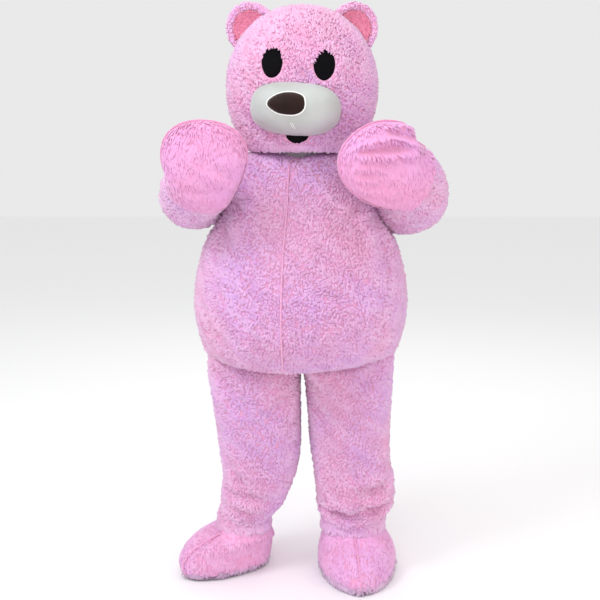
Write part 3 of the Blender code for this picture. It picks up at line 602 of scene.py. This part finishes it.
def drift(points, scale, phase):
    # A smooth field between -1 and 1, from a few waves in different directions
    x, y, z = (points * scale).T
    field = np.sin(1.7 * x + 2.3 * z + phase) + np.sin(2.9 * y - 1.3 * z + 1.7 * phase)
    field += np.sin(2.1 * z + 1.9 * x - 1.1 * y + 2.9 * phase)
    return field / 3


cadWalls = {
    name: BVHTree.FromPolygons(
        [vert.co[:] for vert in node.data.vertices],
        [polygon.vertices[:] for polygon in node.data.polygons],
    )
    for name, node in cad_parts.items()
}
cadReach = {
    name: (np.min(corners, axis=0), np.max(corners, axis=0))
    for name, corners in ((key, np.array(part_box(key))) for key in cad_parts)
}


def covered(point, normal, own):
    # Another solid lies just over this place, as a cuff does over a sleeve's end.
    start = point + normal * coverStart
    for name, wall in cadWalls.items():
        low, high = cadReach[name]
        if name == own or np.any(point < low - coverMargin) or np.any(point > high + coverMargin):
            continue
        if wall.ray_cast(Vector(start), Vector(normal), coverReach)[0] is not None:
            return True
    return False


def edgeTree(mesh):
    bm = bmesh.new()
    bm.from_mesh(mesh)
    rim = [edge for edge in bm.edges if edge.is_boundary]
    tree = KDTree(max(len(rim) * 2, 1))
    for edge in rim:
        for vert in edge.verts:
            tree.insert(vert.co, vert.index)
    tree.balance()
    bm.free()
    return tree if rim else None


def scatter(mesh, fur, seed, inset, own, only):
    # Places, normals and sizes of the locks on a piece's outer face
    rng = np.random.default_rng(seed)
    mesh.calc_loop_triangles()
    points, normals = readMesh(mesh)
    corners = np.empty(len(mesh.loop_triangles) * 3, dtype=np.int32)
    mesh.loop_triangles.foreach_get("vertices", corners)
    corners = corners.reshape(-1, 3)
    a, b, c = (points[corners[:, k]] for k in range(3))
    areas = np.linalg.norm(np.cross(b - a, c - a), axis=1) / 2
    count = int(areas.sum() * fur["density"])
    picked = np.searchsorted(np.cumsum(areas) / areas.sum(), rng.random(count))
    picked = np.minimum(picked, len(areas) - 1)
    u, v = rng.random(count), rng.random(count)
    over = u + v > 1
    u[over], v[over] = 1 - u[over], 1 - v[over]
    weights = np.stack((1 - u - v, u, v), axis=1)[:, :, None]
    places = (points[corners[picked]] * weights).sum(axis=1)
    facing = (normals[corners[picked]] * weights).sum(axis=1)
    facing /= np.linalg.norm(facing, axis=1)[:, None]
    tree = edgeTree(mesh)
    keep, near = np.ones(count, dtype=bool), np.ones(count)
    for index in range(count):
        outside = places[index] + facing[index] * inset
        if only is not None and not only(places[index]):
            keep[index] = False
        elif covered(outside, facing[index], own):
            keep[index] = False
        elif tree is not None:
            away = tree.find(places[index])[2]
            near[index] = min(fur["edge"] + away / edgeFade, 1.0)
    return places[keep], facing[keep], near[keep], rng


def napAlong(facing, downwards):
    # The way of the pile over the face, and sideways where the face looks up or down
    flat = downwards - facing * (facing * downwards).sum(axis=1)[:, None]
    size = np.linalg.norm(flat, axis=1)
    sideways, tooSteep = np.cross(facing, (0.0, 1.0, 0.0)), 0.15
    flat = np.where(size[:, None] < tooSteep, sideways, flat)
    return flat / np.maximum(np.linalg.norm(flat, axis=1), 1e-6)[:, None]


def furMesh(name, mesh, kind, seed, inset, own, nap=(0, 0, -1), only=None):
    fur, looks = furs[kind], lockLooks
    places, facing, near, rng = scatter(mesh, fur, seed, inset, own, only)
    count = len(places)
    along = napAlong(facing, np.tile(np.array(nap, dtype=float), (count, 1)))
    broad, fine = looks["turnScales"]
    turn = drift(places, broad, 1.0) + looks["fineTurn"] * drift(places, fine, 2.0)
    turn = fur["swirl"] * turn
    turn += rng.normal(0, fur["loose"], count)
    across = np.cross(along, facing)
    along, across = (
        along * np.cos(turn)[:, None] + across * np.sin(turn)[:, None],
        across * np.cos(turn)[:, None] - along * np.sin(turn)[:, None],
    )
    shape, corners = lockShape(fur["shape"])
    size = rng.uniform(*looks["sizes"], count) * near
    wide = fur["width"] * rng.uniform(*looks["widths"], count)
    reach = fur["reach"] * size
    rise = fur["rise"] * size * (1 + looks["riseChange"] * drift(places, looks["riseScale"], 3.0))
    points = places[:, None, :]
    for axis, (way, length) in enumerate(((across, wide), (along, reach), (facing, rise))):
        points = points + way[:, None, :] * (shape[None, :, axis, None] * length[:, None, None])
    points[:, :, 2] = np.maximum(points[:, :, 2], floorHeight + aboveFloor)
    lockPoints = len(shape)
    faces = (corners[None] + (np.arange(count) * lockPoints)[:, None, None]).reshape(-1, 3)
    made = bpy.data.meshes.new(name)
    made.vertices.add(count * lockPoints)
    made.vertices.foreach_set("co", points.ravel())
    made.loops.add(len(faces) * 3)
    made.loops.foreach_set("vertex_index", faces.ravel())
    made.polygons.add(len(faces))
    made.polygons.foreach_set("loop_start", np.arange(len(faces)) * 3)
    made.update(calc_edges=True)
    # Each lock has its own square on the OFBake sheet, its UV map.
    columns = math.ceil(math.sqrt(max(count, 1)))
    cells = np.stack((np.arange(count) % columns, np.arange(count) // columns), axis=1)
    flat = np.stack((shape[:, 0] * 0.8 + 0.5, (shape[:, 1] + 0.2) / 1.4 * 0.8 + 0.1), axis=1)
    sheet = ((cells[:, None, :] + flat[None, :, :]) / columns).reshape(-1, 2)
    made.uv_layers.new(name="OFBake").data.foreach_set("uv", sheet[faces.ravel()].ravel())
    # lift runs from a lock's root to its tip; the pile finish paints shade at the root and light
    # at the tip from it
    lift = np.clip(looks["liftStart"] + shape[:, 1] * 0.5 + shape[:, 2] * 0.4, 0, 1)
    # Painted shade: locks near an open edge get a darker tone, so their tips stay dark where the
    # pile parts at a seam
    seam = ((1 - near) / max(1 - fur["edge"], 0.1)) ** 2
    tone = 0.5 + looks["toneChange"] * drift(places, looks["toneScale"], 4.0)
    tone = tone + rng.normal(0, looks["toneGrain"], count) - looks["seamPaintedShade"] * seam
    tone = np.clip(tone, 0, 1)
    for label, values in (("lift", np.tile(lift, count)), ("tone", np.repeat(tone, lockPoints))):
        made.attributes.new(label, "FLOAT", "POINT").data.foreach_set("value", values)
    made.shade_smooth()
    return made


# What the costume is cut from. Cut sizes are the width and length of each flat piece.
cloths = {
    "torso_front": dict(
        kind="body", slot="body_plush", cut=(0.54, 0.90),
        held="hung", levels=3, thin=0.0108,
    ),
    "torso_back": dict(
        kind="body", slot="body_plush", cut=(0.46, 0.80),
        held="hung", levels=2, thin=0.0108,
    ),
    "sleeve": dict(
        kind="body", slot="body_plush", cut=(0.36, 0.58),
        held="hung", levels=2, thin=0.0108,
    ),
    "leg": dict(
        kind="body", slot="body_plush", cut=(0.47, 0.66),
        held="hung", levels=2, thin=0.0108,
    ),
    "head": dict(
        kind="head", slot="head_plush", cut=(0.80, 0.62),
        held="stretched", levels=2, thin=0.0205,
    ),
    "mitt": dict(
        kind="mitt", slot="mitt_plush", cut=(0.34, 0.32),
        held="stretched", levels=2, thin=0.0108,
    ),
    "foot": dict(
        kind="foot", slot="mitt_plush", cut=(0.46, 0.34),
        held="stretched", levels=2, thin=0.0145,
    ),
}
clothWall, pileInset, panelSharp = 0.0025, 0.0045, 52
napWays = {"mitt": (0.25, 0.0, -1.0), "foot": (0.0, -0.6, -0.8)}


def clothRow(node):
    for prefix, row in cloths.items():
        if node.startswith(prefix):
            return prefix, row


def plushPanel(node, seed):
    prefix, row = clothRow(node)
    settings = dict(outerOnly=True, sharp=panelSharp, levels=row["levels"], thin=row["thin"])
    mesh = smoothMesh("cloth_" + node, node, settings)
    for key, rows in creases.items():
        if node.startswith(key):
            pressCreases(mesh, rows)
    setIn(mesh, pileInset)
    nap = napWays.get(prefix, (0, 0, -1))
    locks = furMesh("fur_" + node, mesh, row["kind"], seed, pileInset, node, nap)
    fur = addPiece("fur_" + node, locks, pileMaterials[row["kind"]], None, 0)
    backing = backingMaterials[row["kind"]]
    cloth = addPiece("cloth_" + node, mesh, backing, node, clothWall)
    width, length = row["cut"]
    area = min(meshArea(mesh), width * length)
    return len(locks.polygons)


total = 0
plushNodes = [node for node in sorted(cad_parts) if clothRow(node)]
for seed, node in enumerate(plushNodes):
    total += plushPanel(node, 100 + seed)
print("plush panels made,", total, "triangles of pile")


# The padded pieces: their wall, how far ear cloth is set in under its pile, and the nose's
# narrowing, which starts at pinchFrom of half its width past the middle
padding = dict(wall=0.003, inset=0.003, sharp=45, thin=1.0, pinch=0.45, pinchFrom=0.4)


def pinchSide(mesh):
    # The side to the wearer's right narrows to a blunt point
    points = readMesh(mesh)[0]
    low, high = points.min(axis=0), points.max(axis=0)
    middle, half = (low + high) / 2, (high - low) / 2
    first = padding["pinchFrom"]
    out = np.clip((middle[0] - points[:, 0]) / half[0], -first, 1)
    narrowing = padding["pinch"] * (first + out) ** 2 / (first + 1) ** 2
    points[:, 2] = middle[2] + (points[:, 2] - middle[2]) * (1 - narrowing)
    writeMesh(mesh, points)


def paddedPiece(node, kind, levels, outerOnly, wall, pile=None, seed=0, shape="ear"):
    settings = dict(
        outerOnly=outerOnly, sharp=padding["sharp"], levels=levels, thin=padding["thin"],
    )
    mesh = smoothMesh(kind + "_" + node, node, settings)
    if node in creases:
        pressCreases(mesh, creases[node])
    if node == "nose":
        pinchSide(mesh)
    if pile:
        setIn(mesh, padding["inset"])
        locks = furMesh("fur_" + node, mesh, shape, seed, padding["inset"], node)
        addPiece("fur_" + node, locks, pileMaterials[pile], None, 0)
        material = backingMaterials[pile]
    else:
        material = plainMaterials[kind]
    piece = addPiece(kind + "_" + node, mesh, material, node, wall)


def headTrim():
    for side, seed in (("left", 300), ("right", 310)):
        paddedPiece(f"ear_{side}_back", "pad", 2, False, 0, "head", seed)
        paddedPiece(f"ear_{side}_inner", "pad", 2, False, 0, "ear", seed + 1)
        paddedPiece(f"eye_mesh_{side}", "gauze", 1, False, 0)
    paddedPiece("mouth_mesh", "gauze", 1, False, 0)
    for node in ("muzzle", "nose"):
        paddedPiece(node, node, 3, True, padding["wall"])


headTrim()


# Thin cords: the pale rim round the nose, and two short stitches under it
cords = dict(
    rim=0.0028, rimEvery=5, stitch=0.0011, colour=(0.88, 0.88, 0.85),
    stitchStarts=((-0.030, 1.448), (-0.024, 1.446)), stitchStep=(0.0016, -0.0036),
    stitchPoints=5, stitchLift=0.0002,
)


def cordMesh(name, points, radius, closed):
    curve = bpy.data.curves.new(name, "CURVE")
    curve.dimensions = "3D"
    curve.bevel_depth = radius
    curve.bevel_resolution = 1
    curve.use_fill_caps = not closed
    line = curve.splines.new("POLY")
    line.points.add(len(points) - 1)
    for point, place in zip(line.points, points):
        point.co = (*place, 1)
    line.use_cyclic_u = closed
    holder = bpy.data.objects.new(name, curve)
    scene.collection.objects.link(holder)
    return finalMesh(holder)


def rimPoints(piece):
    # The piece's open edge, in order
    bm = bmesh.new()
    bm.from_mesh(piece.data)
    rim = [edge for edge in bm.edges if edge.is_boundary]
    vert = rim[0].verts[0]
    points, used = [], set()
    while True:
        points.append(vert.co[:])
        edge = next((e for e in vert.link_edges if e.is_boundary and e.index not in used), None)
        if edge is None:
            break
        used.add(edge.index)
        vert = edge.other_vert(vert)
    bm.free()
    return points[:-1]


def noseTrim():
    finish = Finish("cordWhite", 0.6, Sheen_Weight=0.2)
    finish.shader.inputs["Base Color"].default_value = solid(cords["colour"])
    points = rimPoints(bpy.data.objects["nose_nose"])[::cords["rimEvery"]]
    rim = cordMesh("noseRim", points, cords["rim"], True)
    addPiece("noseRim", rim, finish.material, None, 0)
    inFront, (right, up) = cadBox[0][1] - 0.2, cords["stitchStep"]
    last = cords["stitchPoints"] - 1
    for place, (x, z) in enumerate(cords["stitchStarts"]):
        row = []
        for step in range(last + 1):
            start = Vector((x + right * step, inFront, z + floorHeight + up * step))
            hit = cadWalls["muzzle"].ray_cast(start, Vector((0, 1, 0)))[0]
            lift = cords["stitchLift"] * (last - abs(step - last / 2) * 2)
            row.append((hit.x, hit.y - lift, hit.z))
        stitch = cordMesh(f"stitch_{place}", row, cords["stitch"], False)
        addPiece(f"stitch_{place}", stitch, finish.material, None, 0)


noseTrim()
print("ears, muzzle, nose and gauze made")


# Seams: a soft raised line where two panels meet, just clear of the pile
seams = dict(
    radius=0.0030, rise=0.0042, mittRise=0.0016, meets=0.007, shortest=0.06, every=3,
)
seamPairs = [
    ("torso_front_left", "torso_front_right"), ("torso_back_left", "torso_back_right"),
    ("mitt_left_back", "mitt_left_palm"), ("mitt_right_back", "mitt_right_palm"),
    ("foot_left_inner", "foot_left_outer"), ("foot_right_inner", "foot_right_outer"),
]


def seamRuns(first, second, rise):
    # Runs of the first panel's open edge that lie close to the second panel's edge
    tree = edgeTree(bpy.data.objects["cloth_" + second].data)
    bm = bmesh.new()
    bm.from_mesh(bpy.data.objects["cloth_" + first].data)
    bm.normal_update()
    near = {
        edge for edge in bm.edges
        if edge.is_boundary and all(tree.find(vert.co)[2] < seams["meets"] for vert in edge.verts)
    }
    runs = []
    while near:
        # The edge with the lowest index comes first, so each run of the script is the same.
        edge = min(near, key=lambda rim: rim.index)
        near.discard(edge)
        chain = list(edge.verts)
        for end in (1, 0):
            while True:
                vert = chain[-1] if end else chain[0]
                after = next((e for e in vert.link_edges if e in near), None)
                if after is None:
                    break
                near.discard(after)
                chain.insert(len(chain) if end else 0, after.other_vert(vert))
        run = [vert.co + vert.normal * rise for vert in chain]
        length = sum((b - a).length for a, b in zip(run, run[1:]))
        if length > seams["shortest"]:
            runs.append([place[:] for place in run[::seams["every"]]])
    bm.free()
    return runs


def panelSeams():
    for first, second in seamPairs:
        prefix, row = clothRow(first)
        rise = seams["mittRise" if prefix == "mitt" else "rise"]
        for count, run in enumerate(seamRuns(first, second, rise)):
            name = f"seam_{first}_{count}"
            mesh = cordMesh(name, run, seams["radius"], False)
            # The seam cord takes the backing's colour, with its painted shade
            addPiece(name, mesh, backingMaterials[row["kind"]], None, 0)


panelSeams()
print("seams made")


# Fringes: the band of each edge that they cover, and the waves of their upper edges
fringes = dict(neck=0.026, collar=0.022, hem=0.020, hemWave=0.004, sole=0.027, soleInset=0.003)
downwards, upwards = (0, 0, -1), (0, 0, 1)


def nodesOf(limb):
    return [name for name in sorted(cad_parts) if name.startswith(limb)]


def fringe(name, node, seed, depth, material, kind, nap, only):
    # A row of longer locks along part of a piece's edge
    prefix, row = clothRow(node)
    settings = dict(outerOnly=True, sharp=panelSharp, levels=2, thin=row["thin"])
    mesh = smoothMesh("edge_" + node, node, settings)
    setIn(mesh, depth)
    locks = furMesh(name, mesh, kind, seed, depth, node, nap, only)
    bpy.data.meshes.remove(mesh)
    addPiece(name, locks, pileMaterials[material], None, 0)


def neckFringe():
    for seed, node in enumerate(("head_front", "head_back")):
        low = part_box(node)[0][2] + fringes["neck"]
        fringe(
            "neckFringe_" + node, node, 350 + seed, pileInset, "head", "fringe",
            downwards, lambda place: place[2] < low,
        )
    for seed, node in enumerate(nodesOf("torso")):
        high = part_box(node)[1][2] - fringes["collar"]
        fringe(
            "collarFringe_" + node, node, 360 + seed, pileInset, "body", "fringe",
            upwards, lambda place: place[2] > high,
        )


neckFringe()


def hemFringe():
    for seed, node in enumerate(nodesOf("leg")):
        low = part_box(node)[0][2] + fringes["hem"]

        def below(place):
            return place[2] < low + fringes["hemWave"] * math.sin(60 * place[0] + 45 * place[1])

        fringe(
            "hemFringe_" + node, node, 370 + seed, pileInset, "body", "fringe",
            downwards, below,
        )


hemFringe()


def neckAndSoles():
    paddedPiece("neck_band", "band", 1, False, 0)
    for side in ("left", "right"):
        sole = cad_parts[f"sole_{side}"]
        sole.data.materials.clear()
        sole.data.materials.append(plainMaterials["sole"])


neckAndSoles()


def soleShag():
    def low(place):
        wave = 0.006 * math.sin(47 * place[0] + 61 * place[1]) + 0.004 * math.sin(130 * place[1])
        return place[2] < floorHeight + fringes["sole"] + wave

    for seed, node in enumerate(nodesOf("foot")):
        fringe(
            "shag_" + node, node, 400 + seed, fringes["soleInset"], "shag", "shag",
            downwards, low,
        )


soleShag()
print("neck band and soles made")


# Studio: a pale floor, a pale surround and large soft lamps
studio = {
    "floor": (0.95, 0.95, 0.95),
    "floorSize": 12,
    "floorBelow": 0.0005,
    "aim": (0, 0, -0.45),
    "surround": (1.0, 1.0, 1.0),
    "surroundPower": 0.82,
    "lamps": [
        dict(name="key", place=(-2.4, -1.9, 2.6), size=1.4, power=56, colour=(0.90, 0.95, 1.0)),
        dict(name="front", place=(-0.6, -3.4, 0.9), size=1.6, power=19, colour=(0.94, 0.98, 1.0)),
        dict(name="fill", place=(2.4, -2.0, 0.4), size=2.4, power=15, colour=(1.0, 0.82, 0.76)),
        dict(name="top", place=(0.0, -0.8, 2.6), size=2.0, power=14, colour=(0.97, 0.99, 1.0)),
        dict(name="back", place=(0.4, 2.6, 1.6), size=2.4, power=14, colour=(1.0, 0.98, 0.98)),
    ],
}


def makeStudio():
    bm = bmesh.new()
    bmesh.ops.create_grid(bm, x_segments=1, y_segments=1, size=studio["floorSize"])
    bmesh.ops.translate(bm, verts=bm.verts, vec=(0, 0, floorHeight - studio["floorBelow"]))
    mesh = bpy.data.meshes.new("floor")
    bm.to_mesh(mesh)
    bm.free()
    finish = Finish("floorPaper", 0.9)
    finish.shader.inputs["Base Color"].default_value = solid(studio["floor"])
    mesh.materials.append(finish.material)
    floor = bpy.data.objects.new("floor", mesh)
    scene.collection.objects.link(floor)
    world = bpy.data.worlds.new("surround")
    world.use_nodes = True
    background = world.node_tree.nodes["Background"]
    background.inputs["Color"].default_value = solid(studio["surround"])
    background.inputs["Strength"].default_value = studio["surroundPower"]
    scene.world = world
    for row in studio["lamps"]:
        lamp = bpy.data.objects.new(row["name"], bpy.data.lights.new(row["name"], "AREA"))
        lamp.data.size = row["size"]
        lamp.data.energy = row["power"]
        lamp.data.color = row["colour"]
        lamp.location = row["place"]
        aim = Vector(studio["aim"]) - lamp.location
        lamp.rotation_euler = aim.to_track_quat("-Z", "Y").to_euler()
        scene.collection.objects.link(lamp)
    scene.view_settings.view_transform = "Standard"


makeStudio()
print("studio made")
